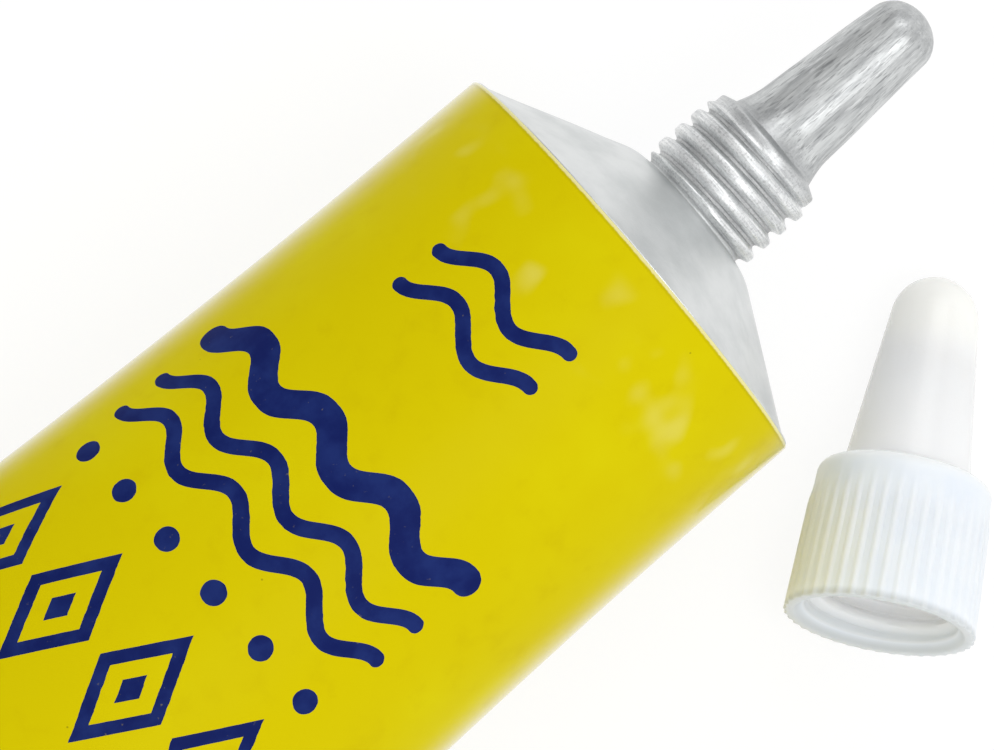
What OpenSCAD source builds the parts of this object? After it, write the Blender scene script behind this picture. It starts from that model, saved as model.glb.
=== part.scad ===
// Collapsible metal glue tube with a threaded neck and a tapered nozzle.
// It lies on its side, and its screw cap lies beside it, taken off.
// Sizes are in millimetres. X runs along the tube towards the nozzle, and Z is up.
// The origin is under the middle of the folded tail, on the surface that the tube lies on.

/* [Sleeve] */
// Outside diameter of the tube at its shoulder
tube_d = 22.5; // [19:0.1:30]
// Length of the sleeve between the folded tail and the shoulder's rim
sleeve_len = 115; // [90:1:150]
// Thickness of the sleeve's metal
sleeve_wall = 0.15; // [0.1:0.01:0.2]
// Share of the flattening that is spread evenly from the rim to the tail
even_share = 0.08; // [0:0.02:0.3]
// Share of the sleeve that bends before its straight wedge begins
bend_share = 0.6; // [0.3:0.05:0.9]
// Thickness of the flattened sleeve where it meets the folded tail
tail_thick = 0.5; // [0.45:0.05:0.8]
// How much squarer than an ellipse the flattened tail is
tail_square = 2; // [0:0.5:3]

/* [Folded tail] */
// Length of the fold along the tube
fold_len = 6; // [4:0.5:10]
// Gap between the layers of the fold
fold_gap = 0.05; // [0.02:0.01:0.1]
// Length of the sealing band inside the flattened tail
seal_len = 8; // [5:1:14]

/* [Shoulder and neck] */
// Slope of the shoulder, in degrees from the rim's plane
shoulder_slope = 27.4; // [20:0.2:35]
// Thickness of the shoulder's metal
shoulder_wall = 0.6; // [0.4:0.05:0.8]
// Width of the narrow ledge round the rim
rim_ledge = 0.35; // [0.2:0.05:0.6]
// Height of the lip that ends the rim
rim_lip = 0.06; // [0.04:0.01:0.12]
// Diameter of the flat seat round the neck
seat_d = 8.2; // [7.8:0.1:9.5]
// Rise of that seat towards the neck
seat_rise = 0.2; // [0.1:0.05:0.4]
// Outside diameter of the neck's thread
thread_d = 7; // [6.6:0.1:7.4]
// Pitch of the thread
thread_pitch = 1; // [0.8:0.05:1.25]
// Depth of the thread
thread_depth = 0.5; // [0.35:0.05:0.6]
// Width of the flat along a thread's crest
crest_land = 0.2; // [0.12:0.02:0.3]
// Number of crests below the collar
crest_count = 4; // [3:1:6]
// Diameter of the rounded collar above the thread
collar_d = 6.5; // [6.2:0.1:6.6]
// Length of the collar
collar_len = 0.95; // [0.7:0.05:1.4]
// Length of the slope at each end of the collar
collar_slope = 0.28; // [0.15:0.01:0.34]

/* [Nozzle] */
// Diameter of the nozzle's flared foot, on the collar
foot_d = 5.5; // [5.2:0.1:6]
// Length of the flare above the collar
flare_len = 1.6; // [1:0.1:2.5]
// Diameter of the nozzle above its flare
nozzle_d = 4.56; // [4.2:0.02:4.9]
// Diameter of the nozzle where its rounded tip begins
nozzle_tip_d = 3.68; // [3.2:0.02:4]
// Length of the taper between the flare and the rounded tip
taper_len = 6.1; // [4:0.1:9]
// Length of the rounded tip
tip_len = 1.6; // [1.2:0.1:2]
// Thickness of the metal that seals the tip
tip_wall = 0.5; // [0.3:0.05:0.8]
// Thickness of the nozzle's wall at its tip
nozzle_wall = 0.6; // [0.4:0.05:0.8]
// Diameter of the passage where it enters the neck
passage_d = 3.8; // [3:0.1:4.2]

/* [Screw cap] */
// Wall of the cap's skirt at the mouth, outside the thread
skirt_wall = 0.84; // [0.75:0.01:1.2]
// Thickness of the skirt's closed top, above the threaded socket
skirt_top_wall = 2.4; // [1.5:0.1:4]
// How much the skirt's radius shrinks from the mouth to its top
skirt_draft = 0.35; // [0:0.05:0.4]
// Rounding of the skirt's top edge
skirt_round = 0.6; // [0.3:0.05:0.8]
// Wall of the cap's cone where it leaves the skirt
cone_wall = 0.65; // [0.4:0.05:0.9]
// Wall of the cap's cone at the nozzle's tip
cone_tip_wall = 0.46; // [0.3:0.02:0.6]
// Solid length of the cap beyond the nozzle's tip
cap_tip_solid = 2.9; // [2:0.1:4]
// Number of grip ribs round the skirt
rib_count = 40; // [16:2:48]
// Height of a rib above the skirt
rib_proud = 0.1; // [0.06:0.01:0.2]
// Radius of a rib's rounded back
rib_r = 0.24; // [0.22:0.01:0.36]
// Distance from the top of the ribs to the skirt's rounded edge
rib_stop = 0.8; // [0.5:0.1:1.5]
// Depth of the bevel inside the mouth
mouth_bevel = 0.45; // [0.2:0.05:0.6]

/* [Where the cap lies] */
// Distance of the cap's mouth behind the shoulder's rim
cap_back = 1.8; // [0:0.1:20]
// Distance between the mouth's middle and the tube's middle line
cap_side = 20.4; // [18:0.1:40]
// Turn of the cap away from the tube's direction, in degrees
cap_turn = 38.6; // [20:0.1:60]

/* [Fits] */
// Radial clearance between the cap's socket and the thread
thread_clear = 0.15; // [0.1:0.01:0.2]
// Clearance between the cap's hollow and the nozzle
nozzle_clear = 0.12; // [0.08:0.01:0.2]
// Gap between the tube's metal and what it holds
fill_gap = 0.03; // [0.02:0.005:0.05]

/* [Hidden] */
$fn = 64;

// How late along the flattening the section squares up
square_power = 4;

// Counts of the lofted skins and of the curves in the turned profiles
loft_sides = 48;
sleeve_rings = 22;
flare_steps = 5;
tip_steps = 8;
enamel = "#d9c800";
bare_metal = "#c9cbcd";
cap_plastic = "#eef1f2";
latex = "#d8c9a0";
glue = "#e6dcae";

// The tube along X
tube_r = tube_d / 2;
rim_x = fold_len / 2 + sleeve_len;
tail_b = tail_thick / 2;

// Heights of the head above the rim's plane, and its radii
ledge_r = tube_r - rim_ledge;
seat_r = seat_d / 2;
seat_h = rim_lip + (ledge_r - seat_r) * tan(shoulder_slope);
neck_h = seat_h + seat_rise;
crest_r = thread_d / 2;
root_r = crest_r - thread_depth;
flank = (thread_pitch - crest_land) / 2;
thread_top = neck_h + crest_count * thread_pitch;
collar_r = collar_d / 2;
collar_top = thread_top + collar_len;
flare_top = collar_top + flare_len;
tip_start = flare_top + taper_len;
tip_top = tip_start + tip_len;
tip_r = nozzle_tip_d / 2;
nozzle_r = nozzle_d / 2;

// The hollow inside the head
wall_h = shoulder_wall / cos(shoulder_slope);
hollow_rim_r = ledge_r - (wall_h - rim_lip) / tan(shoulder_slope);
passage_r = passage_d / 2;
passage_tip_r = tip_r - nozzle_wall;
passage_top = tip_top - tip_wall;
head_hollow = [
    [hollow_rim_r, 0],
    [seat_r, seat_h - wall_h],
    [passage_r, neck_h - wall_h],
    [passage_tip_r, tip_start],
    [passage_tip_r, passage_top]
];

// The cap, measured from its mouth, which stands level with the neck's foot when it is screwed on
cap_on = neck_h;
socket_r = crest_r + thread_clear;
mouth_r = socket_r + skirt_wall;
socket_depth = collar_top - cap_on + nozzle_clear;
skirt_h = socket_depth + skirt_top_wall;
skirt_lean = atan(skirt_draft / skirt_h);
bevel_r = socket_r + mouth_bevel;
hollow_foot_r = foot_d / 2 + nozzle_clear;
hollow_top_r = tip_r + nozzle_clear;
hollow_top_h = tip_start - cap_on;
hollow_end_h = tip_top - cap_on + nozzle_clear;
cap_h = hollow_end_h + cap_tip_solid;
cone_r = nozzle_r + nozzle_clear + cone_wall;
cone_fall = (cone_r - hollow_top_r - cone_tip_wall) / (hollow_top_h - skirt_h);
dome_r = (cone_r - cone_fall * (cap_h - skirt_h)) / (sqrt(1 + cone_fall * cone_fall) - cone_fall);
dome_h = cap_h - dome_r;
cone_lean = atan(cone_fall);
rib_top = skirt_h - skirt_round - rib_stop;

// The middle of the skirt's rounded edge, which touches the cone-shaped side
edge_h = skirt_h - skirt_round;
edge_r = mouth_r - edge_h * tan(skirt_lean) - skirt_round / cos(skirt_lean);

// The cap lies on that edge and on its round tip, which sets its tilt and height
edge_to_dome = norm([dome_h - edge_h, edge_r]);
cap_tilt = atan2(edge_r, dome_h - edge_h) - asin((dome_r - skirt_round) / edge_to_dome);
cap_z = dome_r + dome_h * sin(cap_tilt);

// How far the sleeve has bent and flattened, from 0 at the rim to 1 at the tail
function bent(s) = let (k = 1 - bend_share / 2)
    s < bend_share ? s * s / (2 * bend_share * k) : (s - bend_share / 2) / k;
function flatten(s) = even_share * s + (1 - even_share) * bent(s);

// Half the thickness of the sleeve, and half its width, which keeps the girth of the round tube
function half_thick(s) = tube_r - (tube_r - tail_b) * flatten(s);
function half_width(b) = let (p = 12 * tube_r - 8 * b)
    (p + sqrt(p * p - 24 * (6 * b * b - 12 * tube_r * b + 4 * tube_r * tube_r))) / 12;

// Profile points of a rounded end, from its widest place to its top
function round_end(r, start, length) = [
    for (i = [0 : tip_steps])
        let (t = 90 * i / tip_steps)
        [r * cos(t), start + length * sin(t)]
];

// One closed ring of points across the tube: half width a, half thickness b, middle at height z
function ring(x, a, b, z, power = 2) = [
    for (i = [0 : loft_sides - 1])
        let (t = 360 * i / loft_sides, c = cos(t), s = sin(t))
        [x, a * sign(c) * pow(abs(c), 2 / power), z + b * sign(s) * pow(abs(s), 2 / power)]
];

// The sleeve's section at share s of its length, drawn in by an inset
function sleeve_ring(s, inset) = let (b = half_thick(s))
    ring(rim_x - s * sleeve_len, half_width(b) - inset, b - inset, b,
         2 + tail_square * pow(flatten(s), square_power));

// A ring that lies on the sleeve's straight stretch between two of its own rings
function lining_ring(s, inset) =
    let (i = min(floor(s * sleeve_rings), sleeve_rings - 1), f = s * sleeve_rings - i)
    let (p = sleeve_ring(i / sleeve_rings, inset), q = sleeve_ring((i + 1) / sleeve_rings, inset))
    (1 - f) * p + f * q;

// A lining of the sleeve from share s to share e, with the sleeve's own rings in between
function lining(s, e) =
    let (own = [for (i = [0 : sleeve_rings]) i / sleeve_rings])
    let (shares = concat([s], [for (u = own) if (u > s && u < e) u], [e]))
    [for (u = shares) lining_ring(u, sleeve_wall + fill_gap)];

// A round section of the head, at height h above the rim
function head_ring(r, h) = ring(rim_x + h, r, r, tube_r);

// Triangles between neighbouring rings, where the last ring may close onto the first
function side_faces(count, closed) = [
    for (i = [0 : count - (closed ? 1 : 2)], j = [0 : loft_sides - 1])
        let (a = i * loft_sides, b = ((i + 1) % count) * loft_sides, k = (j + 1) % loft_sides)
        each [[a + j, a + k, b + k], [a + j, b + k, b + j]]
];

// A thin shell lofted through rings that go out along one skin and back along the other
module loft_shell(rings) {
    polyhedron([for (r = rings) each r], side_faces(len(rings), true));
}

// A solid lofted through rings from the nozzle's end to the tail's end
module loft_solid(rings) {
    last = (len(rings) - 1) * loft_sides;
    front = [for (j = [loft_sides - 1 : -1 : 0]) j];
    back = [for (j = [0 : loft_sides - 1]) last + j];
    polyhedron([for (r = rings) each r], concat(side_faces(len(rings), false), [front, back]));
}

// Turns a profile of [radius, height] about the neck's axis, with height 0 at the rim's plane
module on_neck_axis() {
    translate([rim_x, 0, tube_r]) rotate([0, 90, 0]) rotate_extrude() children();
}

// The thin enamelled skin, round at the shoulder and flat at the tail
module tube_sleeve() {
    shares = [for (i = [0 : sleeve_rings]) i / sleeve_rings];
    outer = [for (s = shares) sleeve_ring(s, 0)];
    inner = [for (i = [sleeve_rings : -1 : 0]) sleeve_ring(shares[i], sleeve_wall)];
    color(enamel) loft_shell(concat(outer, inner));
}

// The outside of the head: rim, shoulder, seat, thread crests, collar, flared nozzle and round tip
module head_profile() {
    shoulder = [[0, 0], [tube_r, 0], [tube_r, rim_lip], [ledge_r, rim_lip], [seat_r, seat_h]];
    crests = [
        for (i = [0 : crest_count - 1])
            let (h = neck_h + i * thread_pitch)
            each [[root_r, h], [crest_r, h + flank], [crest_r, h + flank + crest_land]]
    ];
    collar = [
        [root_r, thread_top],
        [collar_r, thread_top + collar_slope],
        [collar_r, collar_top - collar_slope],
        [foot_d / 2, collar_top]
    ];
    flare = [
        for (i = [1 : flare_steps])
            let (u = i / flare_steps)
            [nozzle_r + (foot_d / 2 - nozzle_r) * pow(1 - u, 2), collar_top + u * flare_len]
    ];
    polygon(concat(shoulder, crests, collar, flare, round_end(tip_r, tip_start, tip_len)));
}

// Shoulder, threaded neck and sealed nozzle, in one piece of bare metal
module nozzle_head() {
    color(bare_metal) on_neck_axis() difference() {
        head_profile();
        polygon(concat([[0, 0]], head_hollow, [[0, passage_top]]));
    }
}

// Half a ring in the plane of the fold's profile, on the side that the sign gives
module fold_turn(x, z, r, side) {
    translate([x, z]) intersection() {
        difference() {
            circle(r);
            circle(r - tail_thick);
        }
        translate([side < 0 ? -r : 0, -r]) square([r, 2 * r]);
    }
}

// The flattened end rolled over twice: a bottom layer, a top layer and the tucked-in middle one
module tail_fold() {
    step = tail_thick + fold_gap;
    height = 3 * tail_thick + 2 * fold_gap;
    big_r = height / 2;
    small_r = tail_thick + fold_gap / 2;
    back_x = big_r - fold_len / 2;
    front_x = fold_len / 2 - small_r;
    width = 2 * half_width(tail_b);
    color(enamel) rotate([90, 0, 0]) linear_extrude(width, center = true) {
        translate([back_x, 0]) square([fold_len / 2 - back_x, tail_thick]);
        translate([back_x, step]) square([front_x - back_x, tail_thick]);
        translate([back_x, 2 * step]) square([front_x - back_x, tail_thick]);
        fold_turn(back_x, big_r, big_r, -1);
        fold_turn(front_x, height - small_r, small_r, 1);
    }
}

// The sealing band, squeezed flat between the two sides of the tail
module tail_seal() {
    color(latex) loft_solid(lining(1 - seal_len / sleeve_len, 1));
}

// The glue, which fills the sleeve, the shoulder and the nozzle's passage
module glue_fill() {
    top = len(head_hollow) - 1;
    in_head = [
        for (i = [top : -1 : 0])
            let (p = head_hollow[i])
            head_ring(p[0] - fill_gap, p[1] - (i == 0 ? 0 : fill_gap))
    ];
    in_sleeve = lining(fill_gap / sleeve_len, 1 - (seal_len + fill_gap) / sleeve_len);
    color(glue) loft_solid(concat(in_head, in_sleeve));
}

// The outside of the cap: a leaning skirt with a rounded edge, then a cone with a round end
module cap_profile() {
    polygon([
        [0, 0],
        [mouth_r, 0],
        [edge_r + skirt_round * cos(skirt_lean), edge_h + skirt_round * sin(skirt_lean)],
        [edge_r, edge_h],
        [edge_r, skirt_h],
        [cone_r, skirt_h],
        [dome_r * cos(cone_lean), dome_h + dome_r * sin(cone_lean)],
        [0, dome_h]
    ]);
    translate([edge_r, edge_h]) circle(skirt_round);
    translate([0, dome_h]) intersection() {
        circle(dome_r);
        square(dome_r);
    }
}

// The inside of the cap: a bevelled mouth, the threaded socket and a hollow that follows the nozzle
module cap_hollow() {
    socket = [
        [0, 0],
        [bevel_r, 0],
        [socket_r, mouth_bevel],
        [socket_r, socket_depth],
        [hollow_foot_r, socket_depth],
        [nozzle_r + nozzle_clear, flare_top - cap_on]
    ];
    polygon(concat(socket, round_end(hollow_top_r, hollow_top_h, tip_len + nozzle_clear)));
}

// One rounded grip rib, which leans with the skirt and stops at the mouth
module cap_rib() {
    translate([mouth_r + rib_proud - rib_r, 0, rib_r * sin(skirt_lean)])
        rotate([0, -skirt_lean, 0]) cylinder(h = rib_top, r = rib_r);
}

// The one-piece screw cap, which lies beside the neck with its mouth towards the tail
module screw_cap() {
    color(cap_plastic)
    translate([rim_x - cap_back, -cap_side, cap_z])
        rotate([0, 90 + cap_tilt, cap_turn]) {
            rotate_extrude() difference() {
                cap_profile();
                cap_hollow();
            }
            for (i = [0 : rib_count - 1]) rotate(360 * (i + 0.5) / rib_count) cap_rib();
        }
}

tube_sleeve();
nozzle_head();
tail_fold();
tail_seal();
glue_fill();
screw_cap();
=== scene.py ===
import math

import bmesh
import bpy
from mathutils import Matrix, Vector, noise


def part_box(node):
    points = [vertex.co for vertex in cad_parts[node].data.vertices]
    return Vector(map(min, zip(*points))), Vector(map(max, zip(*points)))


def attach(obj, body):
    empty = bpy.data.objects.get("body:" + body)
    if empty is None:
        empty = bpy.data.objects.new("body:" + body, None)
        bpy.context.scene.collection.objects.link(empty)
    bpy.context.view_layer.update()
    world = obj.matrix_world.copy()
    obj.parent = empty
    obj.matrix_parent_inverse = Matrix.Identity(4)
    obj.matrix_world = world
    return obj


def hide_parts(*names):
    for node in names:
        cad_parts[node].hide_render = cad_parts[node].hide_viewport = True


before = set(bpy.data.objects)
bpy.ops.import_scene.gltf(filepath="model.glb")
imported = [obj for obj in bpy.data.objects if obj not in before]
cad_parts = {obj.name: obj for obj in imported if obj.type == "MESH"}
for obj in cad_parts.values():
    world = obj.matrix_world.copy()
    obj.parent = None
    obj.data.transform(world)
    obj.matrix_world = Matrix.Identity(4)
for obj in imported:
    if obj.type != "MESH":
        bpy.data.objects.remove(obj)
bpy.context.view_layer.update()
scene = bpy.context.scene
scene.view_settings.view_transform = "Standard"

# lengths below are in millimetres, and pieces are scaled to metres as they are finished
millimetre = 0.001
mergeDistance = 1e-4
cutTolerance = 1e-5
loopTolerance = 1e-3
skinTolerance = 0.1                                # points this close to a surface count as on it
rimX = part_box("tube_sleeve")[1].x / millimetre
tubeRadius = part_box("tube_sleeve")[1].z / millimetre / 2
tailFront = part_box("tail_fold")[1].x / millimetre
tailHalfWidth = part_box("tail_fold")[1].y / millimetre


def smoothStep(value, low, high):
    share = min(max((value - low) / (high - low), 0), 1)
    return share * share * (3 - 2 * share)


def toLinear(code):                                # from a screen colour's hex code
    parts = [int(code[i:i + 2], 16) / 255 for i in (0, 2, 4)]
    return tuple(p / 12.92 if p < 0.04045 else ((p + 0.055) / 1.055) ** 2.4 for p in parts) + (1,)


class Strand:                                      # a shader socket that can be used in sums
    def __init__(self, socket):
        self.socket = socket

    def node(self, kind, settings, inputs, out=0):
        tree = self.socket.id_data
        made = tree.nodes.new("ShaderNode" + kind)
        for key, value in settings.items():
            setattr(made, key, value)
        for key, value in inputs.items():
            if isinstance(value, Strand):
                tree.links.new(value.socket, made.inputs[key])
            else:
                made.inputs[key].default_value = value
        return Strand(made.outputs[out]) if made.outputs else None

    def sum(self, operation, *terms):
        return self.node("Math", {"operation": operation}, dict(enumerate(terms)))

    def __add__(self, other):
        return self.sum("ADD", self, other)

    def __sub__(self, other):
        return self.sum("SUBTRACT", self, other)

    def __rsub__(self, other):
        return self.sum("SUBTRACT", other, self)

    def __mul__(self, other):
        return self.sum("MULTIPLY", self, other)

    def __truediv__(self, other):
        return self.sum("DIVIDE", self, other)

    def __rtruediv__(self, other):
        return self.sum("DIVIDE", other, self)

    def __lt__(self, other):
        return self.sum("LESS_THAN", self, other)

    def __gt__(self, other):
        return self.sum("GREATER_THAN", self, other)

    def __abs__(self):
        return self.sum("ABSOLUTE", self)

    __radd__ = __add__
    __rmul__ = __mul__

    def rise(self, low, high):                     # 0 below low, 1 above high, smooth between
        return self.node("MapRange", {"interpolation_type": "SMOOTHSTEP"},
                         {"Value": self, "From Min": low, "From Max": high})

    def riseAt(self, middle, fade):                # the fade's two ends are counted from the middle
        return self.rise(middle + fade[0], middle + fade[1])

    def tint(self, first, second):                 # this value mixes two colours
        return self.node("Mix", {"data_type": "RGBA"}, {0: self, 6: first, 7: second}, 2)

    def larger(self, other):
        return self.sum("MAXIMUM", self, other)

    def stretch(self, factors):                    # scales a vector axis by axis
        return self.node("VectorMath", {"operation": "MULTIPLY"}, {0: self, 1: factors})

    def shift(self, offset):
        return self.node("VectorMath", {"operation": "ADD"}, {0: self, 1: offset})

    def dot(self, other):
        return self.node("VectorMath", {"operation": "DOT_PRODUCT"}, {0: self, 1: other}, 1)

    def grain(self, size, detail=3, rough=0.55):   # noise whose features are about that many millimetres
        return self.node("TexNoise", {}, {"Vector": self, "Scale": 1 / size, "Detail": detail,
                                          "Roughness": rough})

    def axes(self):
        split = self.node("SeparateXYZ", {}, {0: self}).socket.node
        return [Strand(socket) for socket in split.outputs]

    def bumps(self, strength, depth):              # depth in millimetres
        return self.node("Bump", {}, {"Strength": strength, "Distance": depth * millimetre,
                                      "Height": self})


def startMaterial(name):                           # returns the material and its place in millimetres
    material = bpy.data.materials.new(name)
    material.use_nodes = True
    material.node_tree.nodes.clear()
    coords = material.node_tree.nodes.new("ShaderNodeTexCoord")
    metres = Strand(coords.outputs["Object"])
    place = metres.node("VectorMath", {"operation": "SCALE"}, {0: metres, "Scale": 1 / millimetre})
    return material, place


def endMaterial(place, sockets):
    surface = place.node("BsdfPrincipled", {}, sockets)
    place.node("OutputMaterial", {}, {"Surface": surface})


def turnProfile(bm, corners, steps, longest):      # corners are (radius, height, rounding)
    turned = bmesh.new()
    chain = [turned.verts.new((r, 0, h)) for r, h, rounding in corners]
    for pair in zip(chain, chain[1:]):
        turned.edges.new(pair)
    for vert, (r, h, rounding) in zip(chain, corners):
        if rounding:
            bmesh.ops.bevel(turned, geom=[vert], offset=rounding, segments=4, profile=0.5,
                            affect="VERTICES", material=-1)
    for edge in turned.edges[:]:
        cuts = int(edge.calc_length() / longest)
        if cuts:
            bmesh.ops.subdivide_edges(turned, edges=[edge], cuts=cuts)
    bmesh.ops.spin(turned, geom=turned.verts[:] + turned.edges[:], cent=(0, 0, 0), axis=(0, 0, 1),
                   dvec=(0, 0, 0), angle=math.tau, steps=steps, use_merge=True)
    carrier = bpy.data.meshes.new("turned")
    turned.to_mesh(carrier)
    turned.free()
    bm.from_mesh(carrier)
    bpy.data.meshes.remove(carrier)


def openLoop(bm, height):                          # the open edges round the axis at one height
    return [edge for edge in bm.edges if edge.is_boundary
            and all(abs(vert.co.z - height) < loopTolerance for vert in edge.verts)]


def bridgeGap(bm, low, high):
    bmesh.ops.bridge_loops(bm, edges=openLoop(bm, low) + openLoop(bm, high))


def cutThread(bm, thread):                         # a helical wall round the local z axis
    pitch, bottom, top = thread["pitch"], thread["bottom"], thread["top"]
    start = thread["crestAt"] - pitch / 2
    while start > bottom - pitch:
        start -= pitch
    chain = []
    turn = 0
    while start + turn * pitch < top:
        for share, lift in threadWave:
            height = start + (turn + share) * pitch
            chain.append(bm.verts.new((thread["root"] + lift * thread["depth"], 0, height)))
        turn += 1
    edges = [bm.edges.new(pair) for pair in zip(chain, chain[1:])]
    bmesh.ops.spin(bm, geom=chain + edges, cent=(0, 0, 0), axis=(0, 0, 1),
                   dvec=(0, 0, pitch / thread["steps"]), angle=math.tau, steps=thread["steps"])
    bmesh.ops.remove_doubles(bm, verts=bm.verts[:], dist=mergeDistance)
    for height, side in ((bottom, 1), (top, -1)):
        bmesh.ops.bisect_plane(bm, geom=bm.verts[:] + bm.edges[:] + bm.faces[:], dist=cutTolerance,
                               plane_co=(0, 0, height), plane_no=(0, 0, side), clear_inner=True)
    for vert in bm.verts:                          # the ridge runs out towards both ends
        radius = vert.co.xy.length
        keep = smoothStep(vert.co.z, bottom, bottom + thread["runIn"])
        keep *= smoothStep(top - vert.co.z, 0, thread["runOut"])
        plain = thread["root"] if vert.co.z < (bottom + top) / 2 else thread["end"]
        vert.co.xy *= (plain + (radius - plain) * keep) / radius


def closeSeams(bm):
    bmesh.ops.remove_doubles(bm, verts=bm.verts[:], dist=mergeDistance)
    bmesh.ops.dissolve_degenerate(bm, edges=bm.edges[:], dist=cutTolerance)
    bmesh.ops.recalc_face_normals(bm, faces=bm.faces[:])


def finishPiece(name, bm, place, sharpAngle):      # place takes the local frame to the tube's frame
    bmesh.ops.transform(bm, matrix=Matrix.Scale(millimetre, 4) @ place, verts=bm.verts[:])
    mesh = bpy.data.meshes.new(name)
    bm.to_mesh(mesh)
    bm.free()
    mesh.shade_smooth()
    mesh.set_sharp_from_angle(angle=math.radians(sharpAngle))
    piece = bpy.data.objects.new(name, mesh)
    scene.collection.objects.link(piece)
    return piece


def thicken(piece, thickness, offset):             # offset -1 grows inwards, 0 to both sides
    wall = piece.modifiers.new("wall", "SOLIDIFY")
    wall.thickness = thickness * millimetre
    wall.offset = offset


def dress(piece, material, body, nodeName):
    piece.data.materials.clear()
    piece.data.materials.append(material)
    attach(piece, body)
    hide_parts(nodeName)
    print("piece", piece.name, "done")


# the enamelled sleeve, round at the rim and flat at the tail, with the same girth all the way
sleeve = {"sides": 240, "rings": 120, "wall": 0.15, "even": 0.08, "bend": 0.6, "tailHalf": 0.25,
          "square": 2, "squarePower": 4, "tuck": 0.004, "rimRounding": 0.12,
          "rimRows": (0, 0.015, 0.04, 0.075, 0.12), "sharpAngle": 50,
          "ripple": 0.05, "rippleSize": 9, "crease": 0.08, "creaseSize": (60, 22, 9),
          "dentFrom": 0.01, "dentFull": 0.12, "stiffHalf": 3, "restHeight": 1.5}
sleeveLength = rimX - tailFront
girth = math.tau * tubeRadius


def flatten(share):                                # 0 at the rim, 1 at the tail
    k = 1 - sleeve["bend"] / 2
    bent = (share - sleeve["bend"] / 2) / k
    if share < sleeve["bend"]:
        bent = share * share / (2 * sleeve["bend"] * k)
    return sleeve["even"] * share + (1 - sleeve["even"]) * bent


def sleevePoint(share, turn):
    b = tubeRadius - (tubeRadius - sleeve["tailHalf"]) * flatten(share)
    # half the width of the ellipse that has half the height b and the round tube's girth
    p = 12 * tubeRadius - 8 * b
    a = (p + math.sqrt(p * p - 24 * (6 * b * b - 12 * tubeRadius * b + 4 * tubeRadius ** 2))) / 12
    a -= sleeve["tuck"] * flatten(share)
    power = 2 / (2 + sleeve["square"] * flatten(share) ** sleeve["squarePower"])
    c, s = math.cos(turn), math.sin(turn)
    across = math.copysign(abs(c) ** power, c)
    up = math.copysign(abs(s) ** power, s)
    point = Vector((rimX - share * sleeveLength, a * across, b + b * up))
    inwards = Vector((0, -across / a, -up / b)).normalized()
    return point, inwards, b


def sleeveDent(point, share, half):                # how far the thin metal is pressed in
    away = smoothStep(share, sleeve["dentFrom"], sleeve["dentFull"]) * min(1, half / sleeve["stiffHalf"])
    ripple = noise.noise(point / sleeve["rippleSize"]) + 1
    crease = noise.noise(Vector([c / size for c, size in zip(point, sleeve["creaseSize"])])) + 1
    resting = smoothStep(point.z, 0, sleeve["restHeight"])
    return away * resting * (sleeve["ripple"] * ripple + sleeve["crease"] * crease) / 2


def makeSleeve():
    sides, rings = sleeve["sides"], sleeve["rings"]
    bm = bmesh.new()
    bmesh.ops.create_circle(bm, segments=sides, radius=tubeRadius,
                            matrix=Matrix.Translation((rimX, 0, 0)) @ Matrix.Rotation(math.pi / 2, 4, "Y"))
    step = sleeveLength / rings
    bmesh.ops.spin(bm, geom=bm.verts[:] + bm.edges[:], cent=(0, 0, 0), axis=(1, 0, 0),
                   dvec=(-step, 0, 0), angle=0, steps=rings)
    rows = [[None] * sides for k in range(rings + 1)]
    for vert in bm.verts:
        k = round((rimX - vert.co.x) / step)
        j = round(math.atan2(vert.co.z, vert.co.y) / math.tau * sides) % sides
        rows[k][j] = vert
    wrap = {}
    rounding, close = sleeve["rimRounding"], sleeve["rimRows"]
    spaced = rings - len(close) + 1                # the rows behind those that round the rim's edge
    for k, row in enumerate(rows):
        behind = close[k] if k < len(close) else sleeveLength * (k - len(close) + 1) / spaced
        share = behind / sleeveLength
        bend = max(rounding - behind, 0)
        turnedIn = rounding - math.sqrt(rounding ** 2 - bend * bend)
        bare = []
        for j, vert in enumerate(row):
            point, inwards, half = sleevePoint(share, math.tau * j / sides)
            bare.append(point)
            vert.co = point + inwards * (turnedIn + sleeveDent(point, share, half))
        # distance round the ring from the top, towards the side the cap lies on
        top, walked = sides // 4, [0]
        for j in range(sides):
            walked.append(walked[-1] + (bare[(top + j + 1) % sides] - bare[(top + j) % sides]).length)
        for j in range(sides):
            wrap[row[(top + j) % sides]] = walked[j] / walked[-1]
    layer = bm.loops.layers.uv.new("wrap")
    for face in bm.faces:
        around = [wrap[loop.vert] for loop in face.loops]
        crossing = max(around) - min(around) > 0.5
        for loop, value in zip(face.loops, around):
            value = value - 1 if crossing and value > 0.5 else value
            loop[layer].uv = (value, loop.vert.co.x / rimX)
    bmesh.ops.recalc_face_normals(bm, faces=bm.faces[:])
    piece = finishPiece("enamelled_sleeve", bm, Matrix(), sleeve["sharpAngle"])
    thicken(piece, sleeve["wall"], -1)
    return piece


# the rolled tail: the flat end goes back, over the top and under itself, and is crimped across
roll = {"length": 5.99, "thick": 0.5, "gap": 0.05, "sideGap": 0.02, "lines": 230, "arcSteps": 10,
        "flatSteps": 6, "crimp": 0.13, "crimpPitch": 1.15, "crimpFade": 0.8, "crimpStart": 1,
        "sharpAngle": 50}


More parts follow.
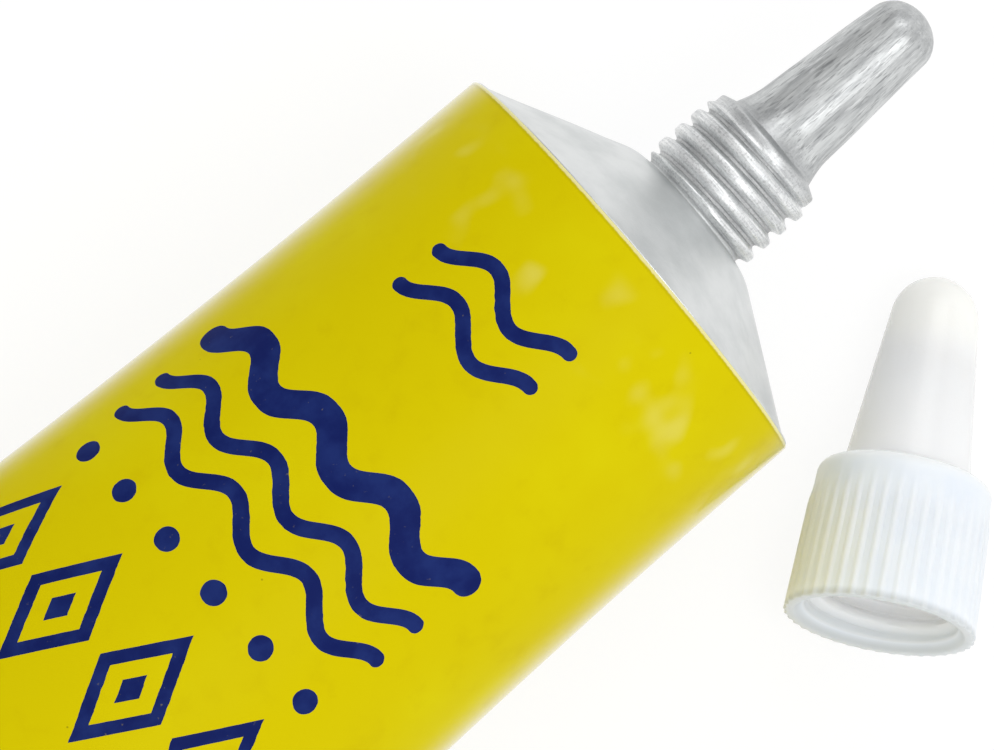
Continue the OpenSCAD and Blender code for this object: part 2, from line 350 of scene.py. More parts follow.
def makeTail():
    thick, lift = roll["thick"], roll["thick"] + roll["gap"]
    backX = (3 * thick + 2 * roll["gap"]) / 2 - roll["length"] / 2
    frontX = roll["length"] / 2 - lift
    half = tailHalfWidth - roll["sideGap"]
    bm = bmesh.new()
    start = bm.verts.new((tailFront, -half, thick / 2))
    bmesh.ops.spin(bm, geom=[start], cent=(0, 0, 0), axis=(0, 1, 0), angle=0,
                   dvec=(0, 2 * half / roll["lines"], 0), steps=roll["lines"])
    last = bm.verts[:] + bm.edges[:]

    def drag(distance):                            # lays the sheet flat along x
        return bmesh.ops.spin(bm, geom=last, cent=(0, 0, 0), axis=(0, 1, 0), angle=0,
                              dvec=(distance / roll["flatSteps"], 0, 0),
                              steps=roll["flatSteps"])["geom_last"]

    def curl(x, z):                                # bends the sheet back round a line across the tube
        return bmesh.ops.spin(bm, geom=last, cent=(x, 0, z), axis=(0, 1, 0), angle=math.pi,
                              dvec=(0, 0, 0), steps=roll["arcSteps"])["geom_last"]

    last = drag(backX - tailFront)
    last = curl(backX, thick / 2 + lift)
    last = drag(frontX - backX)
    last = curl(frontX, thick / 2 + 1.5 * lift)
    last = drag(backX - frontX)
    for vert in bm.verts:
        wave = 0.5 + 0.5 * math.cos(math.tau * vert.co.y / roll["crimpPitch"])
        edge = smoothStep(half - abs(vert.co.y), 0, roll["crimpFade"])
        front = smoothStep(tailFront - vert.co.x, 0, roll["crimpStart"])
        vert.co.z += roll["crimp"] * wave * edge * front
    bmesh.ops.recalc_face_normals(bm, faces=bm.faces[:])
    piece = finishPiece("rolled_tail", bm, Matrix(), roll["sharpAngle"])
    thicken(piece, thick, 0)
    return piece


# the bare head: shoulder, threaded neck and sealed nozzle, turned round the tube's own axis
head = {"steps": 192, "rimLip": 0.06, "rimLedge": 0.35, "slope": 27.4, "wall": 0.6, "seat": 4.1,
        "seatRise": 0.2, "collar": 3.25, "collarLength": 0.95, "collarSlope": 0.28, "foot": 2.6,
        "flare": 1.6, "flarePower": 1.6, "flareSteps": 8, "nozzle": 2.28, "taper": 6.1,
        "tip": 1.84, "tipLength": 1.6, "tipSteps": 12, "tipWall": 0.5, "passage": 1.9, "nozzleWall": 0.6,
        "lipRounding": 0.03, "ledgeRounding": 0.05, "seatRounding": 0.45, "collarRounding": 0.09,
        "footRounding": 0.05, "insideStep": 1, "outsideStep": 0.5, "sharpAngle": 38,
        "wobble": 0.035, "wobbleAcross": 0.9, "wobbleAlong": 0.35, "wobbleBias": 0.4,
        "shoulderWobble": 0.04, "shoulderWobbleSize": 3.2, "shoulderWobbleBias": 0.5, "wobbleFade": 1}
# shares of the pitch and of the depth, from one root to the next
threadWave = ((0, 0), (0.07, 0.04), (0.15, 0.3), (0.24, 0.78), (0.29, 0.94), (0.35, 0.99), (0.5, 1),
              (0.65, 0.99), (0.71, 0.94), (0.76, 0.78), (0.85, 0.3), (0.93, 0.04))
threadSeam = 0.05                                  # a plain strip at each end of a thread
neckThread = {"pitch": 1, "root": 3.06, "depth": 0.44, "turns": 4, "crestAt": 4.92, "steps": 160,
              "runIn": 0.45, "runOut": 0.35, "end": head["collar"]}

ledgeRadius = tubeRadius - head["rimLedge"]
slopeTan = math.tan(math.radians(head["slope"]))
seatHeight = head["rimLip"] + (ledgeRadius - head["seat"]) * slopeTan
neckFoot = seatHeight + head["seatRise"]
threadTop = neckFoot + neckThread["turns"] * neckThread["pitch"]
collarStart = threadTop + head["collarSlope"]
collarTop = threadTop + head["collarLength"]
flareTop = collarTop + head["flare"]
tipStart = flareTop + head["taper"]
tipTop = tipStart + head["tipLength"]
neckThread["bottom"] = neckFoot + threadSeam
neckThread["top"] = collarStart - threadSeam       # the last ridge runs into the collar
neckFrame = Matrix(((0, 0, 1, rimX), (1, 0, 0, 0), (0, 1, 0, tubeRadius), (0, 0, 0, 1)))


def roundEnd(radius, start, length, steps):        # a quarter ellipse up to the axis
    turns = [math.pi / 2 * i / steps for i in range(steps)]
    arc = [(radius * math.cos(turn), start + length * math.sin(turn), 0) for turn in turns]
    return arc + [(0, start + length, 0)]


def flareCurve(steps):
    spread = head["foot"] - head["nozzle"]
    return [(head["nozzle"] + spread * (1 - i / steps) ** head["flarePower"],
             collarTop + head["flare"] * i / steps, 0) for i in range(1, steps + 1)]


def makeHead():
    wallHeight = head["wall"] / math.cos(math.radians(head["slope"]))
    hollowRim = ledgeRadius - (wallHeight - head["rimLip"]) / slopeTan
    bore = head["tip"] - head["nozzleWall"]
    inside = [(0, tipTop - head["tipWall"], 0), (bore, tipTop - head["tipWall"], 0), (bore, tipStart, 0),
              (head["passage"], neckFoot - wallHeight, 0), (head["seat"], seatHeight - wallHeight, 0),
              (hollowRim, 0, 0)]
    lip = tubeRadius - sleeve["rimRounding"]
    shoulder = [(lip, 0, 0), (lip, head["rimLip"], head["lipRounding"]),
                (ledgeRadius, head["rimLip"], head["ledgeRounding"]),
                (head["seat"], seatHeight, head["seatRounding"]), (neckThread["root"], neckFoot, 0)]
    nozzle = [(head["collar"], collarStart, 0),
              (head["collar"], collarTop - head["collarSlope"], head["collarRounding"]),
              (head["foot"], collarTop, head["footRounding"])]
    nozzle += flareCurve(head["flareSteps"])
    nozzle += roundEnd(head["tip"], tipStart, head["tipLength"], head["tipSteps"])
    bm = bmesh.new()
    cutThread(bm, neckThread)
    turnProfile(bm, inside + shoulder, head["steps"], head["insideStep"])
    turnProfile(bm, nozzle, head["steps"], head["outsideStep"])
    bridgeGap(bm, neckFoot, neckThread["bottom"])
    bridgeGap(bm, neckThread["top"], collarStart)
    closeSeams(bm)
    across, along, fadeOver = head["wobbleAcross"], head["wobbleAlong"], head["wobbleFade"]
    for vert in bm.verts:                          # hand-worn unevenness of the soft metal
        radius, height = vert.co.xy.length, vert.co.z
        if height > collarTop and radius > bore + skinTolerance:
            worn = noise.noise(Vector((vert.co.x * across, vert.co.y * across, height * along)))
            fade = smoothStep(height, collarTop, collarTop + fadeOver)
            fade *= smoothStep(tipTop - height, 0, fadeOver)
            vert.co.xy *= 1 + head["wobble"] * (worn - head["wobbleBias"]) * fade / radius
        elif neckFoot > height > head["rimLip"] and radius > head["seat"]:
            worn = noise.noise(vert.co / head["shoulderWobbleSize"])
            fade = smoothStep(ledgeRadius - radius, 0, fadeOver)
            fade *= smoothStep(radius, head["seat"], head["seat"] + fadeOver)
            vert.co.z += head["shoulderWobble"] * (worn - head["shoulderWobbleBias"]) * fade
    return finishPiece("threaded_nozzle", bm, neckFrame, head["sharpAngle"])


# the screw cap, which lies on its skirt's top edge and on its round tip
cap = {"ribs": 40, "ribColumns": 10, "ribHeight": 0.1, "ribRound": 0.24, "ribTop": 6.07, "ribFade": 0.6,
       "mouth": 4.49, "mouthBevel": 0.45, "bevelRounding": 0.06, "lipRounding": 0.08, "draft": 0.35,
       "skirt": 7.47, "skirtRounding": 0.582, "filletFoot": 0.35, "coneFoot": 3.05, "coneFall": 0.12162,
       "dome": 2.0977, "domeSteps": 14, "height": 17.27, "socket": 3.65, "socketDepth": 5.07,
       "fit": 0.12, "hollowFoot": 2.87, "hollowSteps": 8, "hollowColumns": 133, "outsideStep": 0.55,
       "insideStep": 1, "back": 1.8, "side": 20.4, "turn": 38.6, "tilt": 13.7122, "sharpAngle": 38}
socketThread = {"pitch": 1, "root": cap["socket"], "depth": -0.45, "crestAt": 1.2, "steps": 160,
                "runIn": 0.5, "runOut": 0.6, "end": cap["socket"], "bottom": 0.55, "top": 4.6}
domeHeight = cap["height"] - cap["dome"]
capMiddle = Vector((rimX - cap["back"], -cap["side"],
                    cap["dome"] + domeHeight * math.sin(math.radians(cap["tilt"]))))
capFrame = (Matrix.Translation(capMiddle) @ Matrix.Rotation(math.radians(cap["turn"]), 4, "Z")
            @ Matrix.Rotation(math.radians(90 + cap["tilt"]), 4, "Y"))


def makeCap():
    socketFoot, socketTop = socketThread["bottom"] - threadSeam, socketThread["top"] + threadSeam
    skirtTop = cap["mouth"] - cap["draft"]
    coneLean = math.atan(cap["coneFall"])
    sweep = math.pi / 2 - coneLean
    turns = [coneLean + sweep * i / cap["domeSteps"] for i in range(cap["domeSteps"])]
    outside = [(cap["socket"], socketFoot, 0), (cap["socket"], cap["mouthBevel"], cap["bevelRounding"]),
               (cap["socket"] + cap["mouthBevel"], 0, cap["bevelRounding"]),
               (cap["mouth"], 0, cap["lipRounding"]), (skirtTop, cap["skirt"], cap["skirtRounding"]),
               (cap["coneFoot"], cap["skirt"], cap["filletFoot"])]
    outside += [(cap["dome"] * math.cos(turn), domeHeight + cap["dome"] * math.sin(turn), 0)
                for turn in turns]
    outside.append((0, cap["height"], 0))
    hollow = [(cap["socket"], socketTop, 0), (cap["socket"], cap["socketDepth"], 0),
              (cap["hollowFoot"], cap["socketDepth"], 0),
              (head["nozzle"] + cap["fit"], flareTop - neckFoot, 0)]
    hollow += roundEnd(head["tip"] + cap["fit"], tipStart - neckFoot, head["tipLength"] + cap["fit"],
                       cap["hollowSteps"])
    bm = bmesh.new()
    cutThread(bm, socketThread)
    turnProfile(bm, outside, cap["ribs"] * cap["ribColumns"], cap["outsideStep"])
    turnProfile(bm, hollow, cap["hollowColumns"], cap["insideStep"])
    bridgeGap(bm, socketFoot, socketThread["bottom"])
    bridgeGap(bm, socketThread["top"], socketTop)
    closeSeams(bm)
    spacing = math.tau / cap["ribs"]
    lean = math.atan(cap["draft"] / cap["skirt"])
    for vert in bm.verts:                          # rounded grip ribs, down to the mouth's edge
        height, radius = vert.co.z, vert.co.xy.length
        side = cap["mouth"] - height * math.tan(lean)
        if height > cap["ribTop"] or radius < side - skinTolerance:
            continue
        angle = math.atan2(vert.co.y, vert.co.x) % spacing - spacing / 2
        across = side * math.sin(angle)
        reach = math.sqrt(max(cap["ribRound"] ** 2 - across ** 2, 0))
        proud = max(cap["ribHeight"] - cap["ribRound"] + reach, 0)
        proud *= smoothStep(cap["ribTop"] - height, 0, cap["ribFade"])
        vert.co.xy *= 1 + proud / radius
    return finishPiece("screw_top", bm, capFrame, cap["sharpAngle"])


# the print, repeated along the sleeve: rows of waves, a row of discs and a row of diamonds;
# a wave is its distance from the panel's start, its thickness and its half length in wavelengths
panel = {"ink": "14205c", "inkThin": "1f2f6c", "thinRange": (0.35, 0.7), "middle": -2.5, "half": 10.2,
         "start": 5, "end": 21.5, "repeat": 35, "wavelength": 5.3, "swing": 0.7, "discRow": 20.2,
         "discSize": 0.62, "discGap": 3.4, "gemRow": 26, "gemGap": 5.2, "gemWide": 2.4, "gemLong": 4.2,
         "gemRing": 0.76, "gemLine": 0.15, "gemHeart": 0.24, "wander": 0.08, "wanderNoise": (0.5, 2),
         "wear": 0.2, "wearNoise": (0.3, 3), "wearRange": (0.68, 0.8), "inkRough": 0.06, "inkRise": 0.5,
         "waves": ((1.2, 0.75, 0.75), (3.6, 0.75, 0.75), (11.6, 1.5, 1.75), (14.7, 0.8, 1.75),
                   (17.1, 0.8, 1.75))}


def fromMiddle(value, gap):                        # distance from the middle of the gap it lies in
    positive = value + 100 * gap
    return gap / 2 - value.sum("PINGPONG", positive, gap / 2)


def printedInk(place):                             # 1 where the sleeve is printed
    u, v = place.node("UVMap", {"uv_map": "wrap"}, {}).axes()[:2]
    wander = (place.grain(*panel["wanderNoise"]) - 0.5) * panel["wander"]
    # from half a turn on one side of the top to half a turn on the other
    across = (u - u.sum("FLOOR", u + 0.5)) * girth - panel["middle"] + wander
    along = v * rimX + wander
    back = rimX - panel["start"] - along
    down = back.sum("FLOORED_MODULO", back, panel["repeat"])
    marks = []
    for middle, thickness, length in panel["waves"]:
        half = length * panel["wavelength"]        # the lines end at a turn of the wave
        held = across.node("Clamp", {}, {"Value": across, "Min": -half, "Max": half})
        phase = held * (math.tau / panel["wavelength"])
        off = down - middle - phase.sum("SINE", phase) * panel["swing"]
        lean = phase.sum("COSINE", phase) * (panel["swing"] * math.tau / panel["wavelength"])
        steep = lean.sum("SQRT", lean * lean + 1)
        past = abs(across) - half
        marks.append((abs(off) < steep * (thickness / 2)) * (past < 0))
        marks.append(past * past + off * off < (thickness / 2) ** 2)
    inPanel = abs(across) < panel["half"]
    beat, row = fromMiddle(across, panel["discGap"]), down - panel["discRow"]
    gem = (fromMiddle(across, panel["gemGap"]) / panel["gemWide"]
           + abs(down - panel["gemRow"]) / panel["gemLong"])
    marks.append((beat * beat + row * row < panel["discSize"] ** 2) * inPanel)
    marks.append((abs(gem - panel["gemRing"]) < panel["gemLine"]) * inPanel)
    marks.append((gem < panel["gemHeart"]) * inPanel)
    ink = marks[0]
    for mark in marks[1:]:
        ink = ink.larger(mark)
    worn = place.grain(*panel["wearNoise"]).rise(*panel["wearRange"])
    return ink * (along > panel["end"]) * (1 - worn * panel["wear"])


# glossy enamel; noises are size and detail, and ranges are where a mark fades in
enamel = {"yellow": "d6c500", "deep": "c8b200", "pale": "dacd04", "speck": "6b6010", "glint": "e4db78",
          "rimEdge": "ece5a8", "rimLine": "a09204", "rough": 0.36, "gloss": 0.03, "coatRough": 0.12,
          "cloud": (9, 4), "mottle": (1.6, 4), "fine": (0.16, 2), "speckGap": 2.6,
          "paleRange": (0.42, 0.78), "deepRange": (0.5, 0.85), "deepShare": 0.35,
          "speckRange": (0.012, 0.03), "speckShare": 0.55, "cloudRough": 0.12, "mottleRough": 0.14,
          "glintNoise": (2.6, 1), "glintRange": (0.52, 0.74), "glintFrom": (1, 2.6), "glintTo": (4, 6.5),
          "glintShare": 0.38, "rimWander": 0.08, "lineFrom": (0.1, 0.2), "lineTo": (0.2, 0.34),
          "lineShare": 0.35, "edgeTo": (0.12, 0.2), "edgeShare": 0.85, "coatRange": (0.52, 0.85),
          "fineRise": 0.5, "mottleRise": 0.8, "bump": 0.35, "bumpDepth": 0.012}


def paintEnamel(name, printed):
    material, place = startMaterial(name)
    cloud, mottle, fine = [place.grain(*enamel[key]) for key in ("cloud", "mottle", "fine")]
    speck = place.node("TexVoronoi", {"feature": "F1"}, {"Vector": place, "Scale": 1 / enamel["speckGap"]})
    specks = 1 - speck.rise(*enamel["speckRange"])
    colour = cloud.rise(*enamel["paleRange"]).tint(toLinear(enamel["yellow"]), toLinear(enamel["pale"]))
    colour = (mottle.rise(*enamel["deepRange"]) * enamel["deepShare"]).tint(colour, toLinear(enamel["deep"]))
    colour = (specks * enamel["speckShare"]).tint(colour, toLinear(enamel["speck"]))
    rough = enamel["rough"] + enamel["mottleRough"] * (mottle - 0.5) + enamel["cloudRough"] * (cloud - 0.5)
    height = fine * enamel["fineRise"] + mottle * enamel["mottleRise"]
    # painted highlight: pale glints in patches in a band behind the rim, standing for reflections on the
    # small dents there
    behind = rimX - place.axes()[0]
    paintedGlints = behind.rise(*enamel["glintFrom"]) * (1 - behind.rise(*enamel["glintTo"]))
    paintedGlints = paintedGlints * place.grain(*enamel["glintNoise"]).rise(*enamel["glintRange"])
    colour = (paintedGlints * enamel["glintShare"]).tint(colour, toLinear(enamel["glint"]))
    # the coat is thin and pale on the rim's edge, with a painted highlight there, and a darker line of
    # painted shade lies just behind it
    uneven = behind + (fine - 0.5) * enamel["rimWander"]
    rimLineShade = uneven.rise(*enamel["lineFrom"]) * (1 - uneven.rise(*enamel["lineTo"]))
    colour = (rimLineShade * enamel["lineShare"]).tint(colour, toLinear(enamel["rimLine"]))
    thin = 1 - uneven.rise(*enamel["edgeTo"])
    colour = (thin * enamel["edgeShare"]).tint(colour, toLinear(enamel["rimEdge"]))
    if printed:
        ink = printedInk(place)
        shade = mottle.rise(*panel["thinRange"]).tint(toLinear(panel["ink"]), toLinear(panel["inkThin"]))
        colour = ink.tint(colour, shade)
        rough = rough + ink * panel["inkRough"]
        height = height + ink * panel["inkRise"]
    facing = place.node("LayerWeight", {}, {"Blend": 0.5}, 1)
    endMaterial(place, {"Base Color": colour, "Roughness": rough, "Specular IOR Level": enamel["gloss"],
                        "Coat Weight": facing.rise(*enamel["coatRange"]),
                        "Coat Roughness": enamel["coatRough"],
                        "Normal": height.bumps(enamel["bump"], enamel["bumpDepth"])})
    return material


# bare aluminium: satin on the shoulder, turned on the neck, scratched lengthwise on the nozzle;
# noises are size, detail and roughness, and a Long value draws its marks out along the tube
metal = {"satin": "dee0e0", "cool": "ced1d1", "turnedDim": "d2d4d5", "turnedPale": "f7f8f8",
         "nozzleDim": "b0b2b3", "nozzlePale": "d4d6d6", "flare": "acaeaf", "dark": "7a7c7e",
         "pale": "f4f5f5", "root": "7c7d7e", "rough": 0.38, "cloud": (2.4, 4), "fine": (0.22, 3),
         "turned": (0.1, 3, 0.6), "turnedRound": 0.06, "worn": (0.12, 4, 0.7),
         "facets": (0.42, 3, 0.6), "facetsLong": 0.15, "streak": (0.13, 3, 0.6), "streakLong": 0.09,
         "hair": (0.07, 2, 0.5), "hairLong": 0.05, "glaze": (0.17, 3, 0.6), "glazeLong": 0.08,
         "glazeShift": (3, 1, 2), "coolRange": (0.3, 0.75), "toneRange": (0.32, 0.66),
         "glazeRange": (0.55, 0.69), "glazeShare": 0.45, "streakRange": (0.55, 0.69), "streakShare": 0.62,
         "hairRange": (0.57, 0.7), "hairShare": 0.55, "wornRange": (0.47, 0.68), "wornShare": 0.4,
         "neckFade": (-0.15, 0.25), "taperFade": (-0.1, 0.9), "tipFade": (-0.3, 1.2), "tipShare": 0.6,
         "threadFade": (0, 0.2), "flareLead": 0.2, "flareShare": 0.8, "rootFade": (0.02, 0.13),
         "rootShadeShare": 0.38, "cloudRough": 0.1, "threadRough": 0.04, "scratchRough": 0.12, "rootRough": 0.15,
         "fineRise": 0.4, "turnedRise": 0.3, "wornRise": 0.4, "streakRise": 0.6, "hairRise": 0.4,
         "bump": 0.55, "bumpDepth": 0.04}


def paintMetal(name):
    material, place = startMaterial(name)
    local = place.shift((-rimX, 0, -tubeRadius))
    height, y, z = local.axes()
    radius = y.sum("SQRT", y * y + z * z)
    onNeck = height.riseAt(neckFoot, metal["neckFade"])
    onTip = height.riseAt(tipStart, metal["tipFade"])
    onTaper = height.riseAt(collarTop, metal["taperFade"]) * (1 - metal["tipShare"] * onTip)
    onThread = onNeck - onTaper
    cloud, fine = place.grain(*metal["cloud"]), place.grain(*metal["fine"])
    worn = local.grain(*metal["worn"])
    # marks run round the turned thread and along the nozzle
    turned = local.stretch((1, metal["turnedRound"], metal["turnedRound"])).grain(*metal["turned"])
    facets, streak, hair = [local.stretch((metal[key + "Long"], 1, 1)).grain(*metal[key])
                            for key in ("facets", "streak", "hair")]
    glaze = local.shift(metal["glazeShift"]).stretch((metal["glazeLong"], 1, 1)).grain(*metal["glaze"])
    # painted shade: the thread's roots are darker, and they are also rougher
    inThread = onNeck * (1 - height.riseAt(threadTop, metal["threadFade"]))
    inRoot = inThread * (1 - radius.riseAt(neckThread["root"], metal["rootFade"]))
    blotch = worn.rise(*metal["wornRange"]) * metal["wornShare"] * onThread
    lines = streak.rise(*metal["streakRange"]) * metal["streakShare"]
    scratched = lines.larger(hair.rise(*metal["hairRange"]) * metal["hairShare"]) * onTaper
    gleam = glaze.rise(*metal["glazeRange"]) * metal["glazeShare"] * onTaper
    toFlare = height.rise(threadTop - metal["flareLead"], collarTop) * metal["flareShare"]
    colour = cloud.rise(*metal["coolRange"]).tint(toLinear(metal["satin"]), toLinear(metal["cool"]))
    neckTone = turned.rise(*metal["toneRange"]).tint(toLinear(metal["turnedDim"]),
                                                     toLinear(metal["turnedPale"]))
    neckTone = toFlare.tint(neckTone, toLinear(metal["flare"]))
    nozzleTone = facets.rise(*metal["toneRange"]).tint(toLinear(metal["nozzleDim"]),
                                                       toLinear(metal["nozzlePale"]))
    colour = onNeck.tint(colour, onTaper.tint(neckTone, nozzleTone))
    colour = gleam.tint(colour, toLinear(metal["pale"]))
    colour = scratched.larger(blotch).tint(colour, toLinear(metal["dark"]))
    # painted shade in the thread's roots
    colour = (inRoot * metal["rootShadeShare"]).tint(colour, toLinear(metal["root"]))
    rough = metal["rough"] + metal["cloudRough"] * (cloud - 0.5) + metal["threadRough"] * inThread
    rough = rough + metal["scratchRough"] * scratched + metal["rootRough"] * inRoot
    relief = fine * metal["fineRise"] * (1 - onNeck)
    relief = relief + (turned * metal["turnedRise"] + worn * metal["wornRise"]) * onThread
    relief = relief + (facets + streak * metal["streakRise"] + hair * metal["hairRise"]) * onTaper
    endMaterial(place, {"Base Color": colour, "Metallic": 1, "Roughness": rough,
                        "Normal": relief.bumps(metal["bump"], metal["bumpDepth"])})
    return material


# translucent cap plastic, cool on the skirt and ivory where the tip is solid; the skirt's cool tint, the
# whiter cone, the darker lip and bevel and the brighter socket are painted light and shade
plastic = {"skirt": "ebf0f7", "skirtDeep": "e6ecf4", "cone": "fbfdff", "ivory": "f8f7f1", "lip": "bfc4c6",
           "bevel": "dde1e4", "inside": "fdfeff", "rough": 0.2, "cloud": (2.2, 3), "fine": (0.14, 2),
           "deepRange": (0.35, 0.75), "warmRange": (11.2, 14.6), "warmWander": 2.4, "lipShadeRange": (0.08, 0.5),
           "lipShadeShare": 0.85, "insideRange": (0.5, 1.7), "coneFade": (-0.8, 0.6),
           "socketFade": (0.02, 0.14), "depthFade": (0, 0.4), "cloudRough": 0.12, "skirtRough": 0.14,
           "density": 1.49, "scatter": 0.9, "scatterRadius": (1.05, 1.02, 1.0), "scatterDepth": 1.1,
           "cloudRise": 0.6, "bump": 0.25, "bumpDepth": 0.01}


def paintCap(name):
    material, place = startMaterial(name)
    axis = capFrame.to_3x3() @ Vector((0, 0, 1))
    local = place.shift(tuple(-capMiddle))
    height = local.dot(tuple(axis))                # up the cap's own axis from its mouth
    radius = height.sum("SQRT", abs(local.dot(local) - height * height))
    cloud, fine = place.grain(*plastic["cloud"]), place.grain(*plastic["fine"])
    warm = (height + (cloud - 0.5) * plastic["warmWander"]).rise(*plastic["warmRange"])
    onCone = height.riseAt(cap["skirt"], plastic["coneFade"])
    inSocket = 1 - radius.riseAt(cap["socket"], plastic["socketFade"])
    inSocket = inSocket * (1 - height.riseAt(cap["socketDepth"], plastic["depthFade"]))
    # painted shade: the lip round the mouth is darker
    lip = (1 - height.rise(*plastic["lipShadeRange"])) * (1 - inSocket)
    # painted light: the skirt's cool tint offsets the yellow light the tube bounces onto it
    colour = cloud.rise(*plastic["deepRange"]).tint(toLinear(plastic["skirt"]),
                                                    toLinear(plastic["skirtDeep"]))
    # painted light: the cone is whiter than the skirt, to brighten it where light scatters away through its
    # thin wall
    colour = onCone.tint(colour, toLinear(plastic["cone"]))
    colour = warm.tint(colour, toLinear(plastic["ivory"]))
    colour = (lip * plastic["lipShadeShare"]).tint(colour, toLinear(plastic["lip"]))
    # painted shade at the mouth's bevel, turning to painted light deeper in the socket for light coming
    # through the wall
    socketShadeAndLight = height.rise(*plastic["insideRange"]).tint(toLinear(plastic["bevel"]),
                                                           toLinear(plastic["inside"]))
    colour = inSocket.tint(colour, socketShadeAndLight)
    rough = plastic["rough"] + plastic["cloudRough"] * (cloud - 0.5) + plastic["skirtRough"] * (1 - onCone)
    relief = fine + cloud * plastic["cloudRise"]
    endMaterial(place, {"Base Color": colour, "Roughness": rough, "IOR": plastic["density"],
                        "Subsurface Weight": plastic["scatter"],
                        "Subsurface Radius": plastic["scatterRadius"],
                        "Subsurface Scale": plastic["scatterDepth"] * millimetre,
                        "Normal": relief.bumps(plastic["bump"], plastic["bumpDepth"])})
    return material


# what fills the tube, hidden unless it is cut open
filling = {"glue": "e3d48f", "glueDeep": "cdb765", "glueSize": 6, "glueRough": 0.25,
           "latex": "d9cba4", "latexDeep": "bfae80", "latexSize": 2, "latexRough": 0.6,
           "fineness": 12, "deepRange": (0.3, 0.75), "cloudRough": 0.2, "fineRise": 0.3,
           "bump": 0.3, "bumpDepth": 0.05}


def paintFilling(name, kind):
    material, place = startMaterial(name)
    cloud = place.grain(filling[kind + "Size"], 4)
    fine = place.grain(filling[kind + "Size"] / filling["fineness"], 2)
    colour = cloud.rise(*filling["deepRange"]).tint(toLinear(filling[kind]), toLinear(filling[kind + "Deep"]))
    rough = filling[kind + "Rough"] + filling["cloudRough"] * (cloud - 0.5)
    relief = cloud + fine * filling["fineRise"]
    endMaterial(place, {"Base Color": colour, "Roughness": rough,
                        "Normal": relief.bumps(filling["bump"], filling["bumpDepth"])})
    return material


printedEnamel = paintEnamel("printed_enamel", True)
plainEnamel = paintEnamel("tail_enamel", False)
bareMetal = paintMetal("bare_aluminium")
capPlastic = paintCap("cap_plastic")
glueMaterial = paintFilling("glue", "glue")
latexMaterial = paintFilling("seal_latex", "latex")
print("materials done")

dress(makeSleeve(), printedEnamel, "tube", "tube_sleeve")
dress(makeTail(), plainEnamel, "tube", "tail_fold")
dress(makeHead(), bareMetal, "tube", "nozzle_head")
dress(makeCap(), capPlastic, "cap", "screw_cap")
for nodeName, material in (("glue_fill", glueMaterial), ("tail_seal", latexMaterial)):
    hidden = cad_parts[nodeName]
    hidden.data.materials.clear()
    hidden.data.materials.append(material)
print("filling painted")

# the studio, in metres: a pale floor, two lamps and a room
studio = {"floorRadius": 9, "floorMiddle": (0.07, 0, 0), "floorShade": "f4f4f2", "floorPale": "f7f7f6",
          "floorNoise": (140, 3), "floorGlow": 0.82, "glow": 1.05, "aim": (0.115, -0.005, 0.01),
          "key": 1, "keyPlace": (0.62, 0.24, 0.6), "keySize": (0.5, 0.5),
          "fill": 1.5, "fillPlace": (0.14, -0.32, 0.87), "fillSize": (0.45, 0.45),
          "horizon": (1, 1, 1, 1), "zenith": (0.7, 0.7, 0.7, 1), "zenithRange": (0.15, 0.95),
          "dimWall": (0.5, 0.5, 0.5, 1), "dimRange": (0.2, 0.9),
          "brightWall": (1.12, 1.12, 1.12, 1), "brightRange": (-0.95, -0.35)}


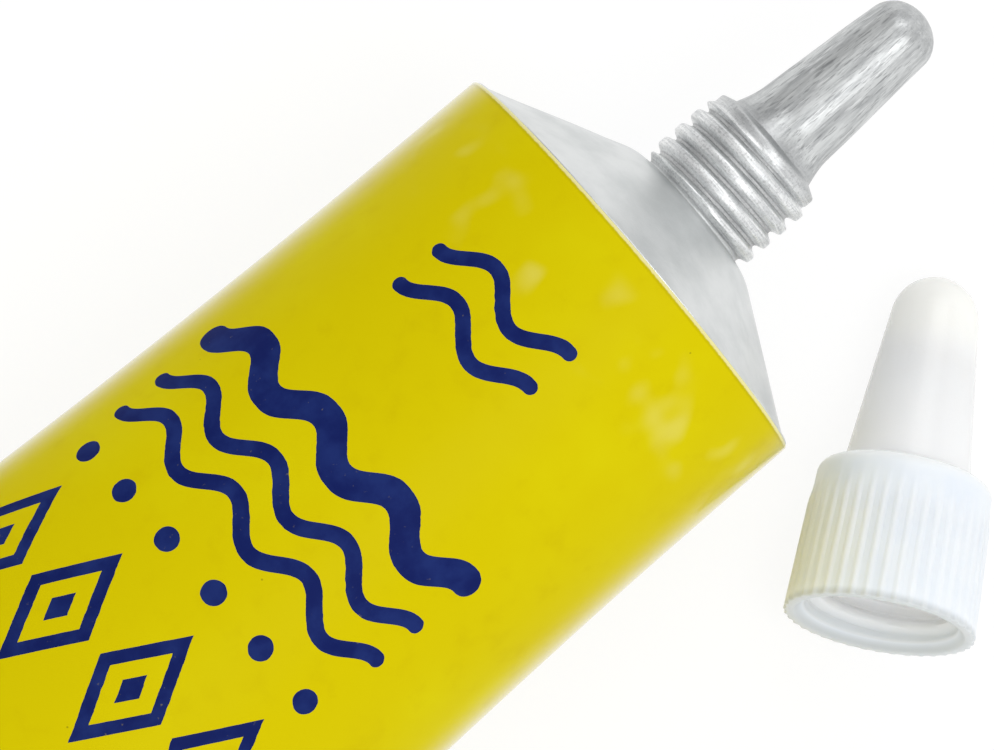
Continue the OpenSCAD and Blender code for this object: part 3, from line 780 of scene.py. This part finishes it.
def makeFloor():                                   # looks white to the camera but keeps a soft shadow
    bm = bmesh.new()
    bmesh.ops.create_circle(bm, segments=96, radius=studio["floorRadius"], cap_ends=True,
                            matrix=Matrix.Translation(studio["floorMiddle"]))
    mesh = bpy.data.meshes.new("studio_floor")
    bm.to_mesh(mesh)
    bm.free()
    floor = bpy.data.objects.new("studio_floor", mesh)
    scene.collection.objects.link(floor)
    material, place = startMaterial("studio_floor")
    cloud = place.grain(*studio["floorNoise"])
    shade = cloud.tint(toLinear(studio["floorShade"]), toLinear(studio["floorPale"]))
    matte = place.node("BsdfDiffuse", {}, {"Color": shade})
    glow = place.node("Emission", {}, {"Color": (1, 1, 1, 1), "Strength": studio["glow"]})
    rays = place.node("LightPath", {}, {}).socket.node.outputs
    seen = Strand(rays["Is Camera Ray"])
    for kind in ("Is Glossy Ray", "Is Transmission Ray"):
        seen = seen.larger(Strand(rays[kind]))
    mixed = place.node("MixShader", {}, {0: seen * studio["floorGlow"], 1: matte, 2: glow})
    place.node("OutputMaterial", {}, {"Surface": mixed})
    mesh.materials.append(material)


def hangLamp(name, kind):
    lamp = bpy.data.lights.new(name, "AREA")
    lamp.shape = "RECTANGLE"
    lamp.size, lamp.size_y = studio[kind + "Size"]
    lamp.energy = studio[kind]
    holder = bpy.data.objects.new(name, lamp)
    holder.location = studio[kind + "Place"]
    aim = Vector(studio["aim"]) - Vector(studio[kind + "Place"])
    holder.rotation_euler = aim.to_track_quat("-Z", "Y").to_euler()
    holder.visible_camera = False
    scene.collection.objects.link(holder)


makeFloor()
hangLamp("key_softbox", "key")
hangLamp("fill_softbox", "fill")

# a room with pale walls, one of them dimmer and one brighter, and a dimmer ceiling
world = bpy.data.worlds.new("studio")
world.use_nodes = True
world.node_tree.nodes.clear()
outlook = Strand(world.node_tree.nodes.new("ShaderNodeTexCoord").outputs["Generated"])
northward, upward = outlook.axes()[1:]
walls = northward.rise(*studio["dimRange"]).tint(studio["horizon"], studio["dimWall"])
walls = northward.rise(*studio["brightRange"]).tint(studio["brightWall"], walls)
roomTone = upward.rise(*studio["zenithRange"]).tint(walls, studio["zenith"])
room = outlook.node("Background", {}, {"Color": roomTone})
outlook.node("OutputWorld", {}, {"Surface": room})
scene.world = world
print("studio done")

# the photograph's view, almost straight down on the tube's head
view = {"place": (0.0488, -0.01751, 1.17025), "turn": (2.62, -1.73, -40.49), "focalPixels": 24816.9,
        "frameWidth": 994, "sensor": 36, "clip": (0.05, 60)}
cameraData = bpy.data.cameras.new("photo_view")
cameraData.sensor_width = view["sensor"]
cameraData.lens = view["focalPixels"] * view["sensor"] / view["frameWidth"]
cameraData.clip_start, cameraData.clip_end = view["clip"]
camera = bpy.data.objects.new("photo_view", cameraData)
camera.location = view["place"]
camera.rotation_euler = [math.radians(angle) for angle in view["turn"]]
scene.collection.objects.link(camera)
scene.camera = camera
print("camera done")
